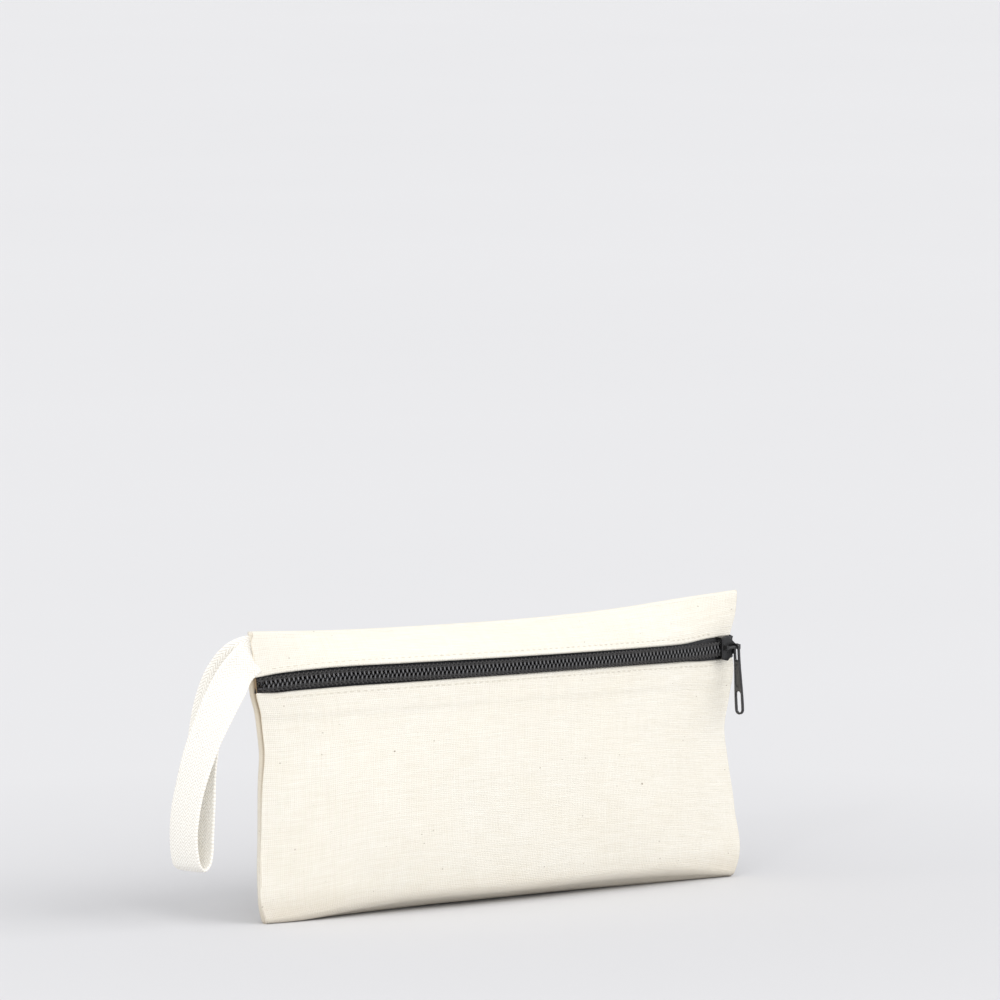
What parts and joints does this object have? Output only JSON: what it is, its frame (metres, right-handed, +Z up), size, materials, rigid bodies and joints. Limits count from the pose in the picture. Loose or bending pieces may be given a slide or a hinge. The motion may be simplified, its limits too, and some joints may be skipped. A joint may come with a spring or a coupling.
{
  "type": "zippered canvas pouch",
  "caption": "Flat natural canvas pouch with a dark coil zip across the front and a twill-tape loop in its side seam.",
  "frame": {"origin": "middle of the base's flat underside, on the surface the pouch stands on", "axes": "+X along the pouch from the strap seam to the closed end of the zip, -Y out of the zipped front, +Z up"},
  "size_m": [0.2263, 0.0265, 0.0975],
  "materials": {
    "canvas": "matte plain weave, natural cotton",
    "twill_tape": "matte herringbone twill, natural cotton",
    "cotton_thread": "matte sewing thread",
    "zip_tape": "matte woven polyester",
    "zip_coil": "satin nylon",
    "zip_thread": "polyester sewing thread",
    "slider_metal": "semi-gloss black paint on die-cast metal"
  },
  "bodies": {
    "root": {"back_panel": "canvas", "front_panel": "canvas", "left_overlock": "cotton_thread", "left_seam_thread": "cotton_thread", "lower_coil_thread": "zip_thread", "lower_filler_cord": "zip_thread", "lower_topstitch": "cotton_thread", "lower_zip_coil": "zip_coil", "lower_zip_tape": "zip_tape", "right_overlock": "cotton_thread", "right_seam_thread": "cotton_thread"},
    "slider": {"slider_body": "slider_metal", "slider_bridge": "slider_metal"},
    "pull": {"pull_tab": "slider_metal"},
    "lip": {"top_band": "canvas", "upper_zip_tape": "zip_tape", "upper_zip_coil": "zip_coil", "upper_filler_cord": "zip_thread", "upper_coil_thread": "zip_thread", "upper_topstitch": "cotton_thread"},
    "strap": {"wrist_strap": "twill_tape"}
  },
  "joints": [
    {"name": "slider_travel", "type": "hinge", "parent": "root", "child": "slider", "pos_m": [0, 0.46485, 0.0793], "axis": [0, 0, -1], "range_deg": [0, 21.53], "deforming": ["lower_zip_coil", "lower_filler_cord", "lower_coil_thread"]},
    {"name": "mouth_opening", "type": "hinge", "parent": "root", "child": "lip", "pos_m": [0, 0, 0.0925], "axis": [-1, 0, 0], "range_deg": [0, 45], "deforming": ["top_band", "upper_zip_tape", "upper_zip_coil", "upper_filler_cord", "upper_coil_thread", "upper_topstitch"]},
    {"name": "pull_swing", "type": "hinge", "parent": "slider", "child": "pull", "pos_m": [0.09279, -0.00702, 0.0796], "axis": [-0.9821, -0.1885, 0], "range_deg": [0, 156]},
    {"name": "strap_swing", "type": "hinge", "parent": "root", "child": "strap", "pos_m": [-0.097, 0, 0.0902], "axis": [0, 1, 0], "range_deg": [0, 120], "deforming": ["wrist_strap"]}
  ],
  "couplings": [
    {"joint": "mouth_opening", "follows": "slider_travel", "ratio": 2}
  ]
}
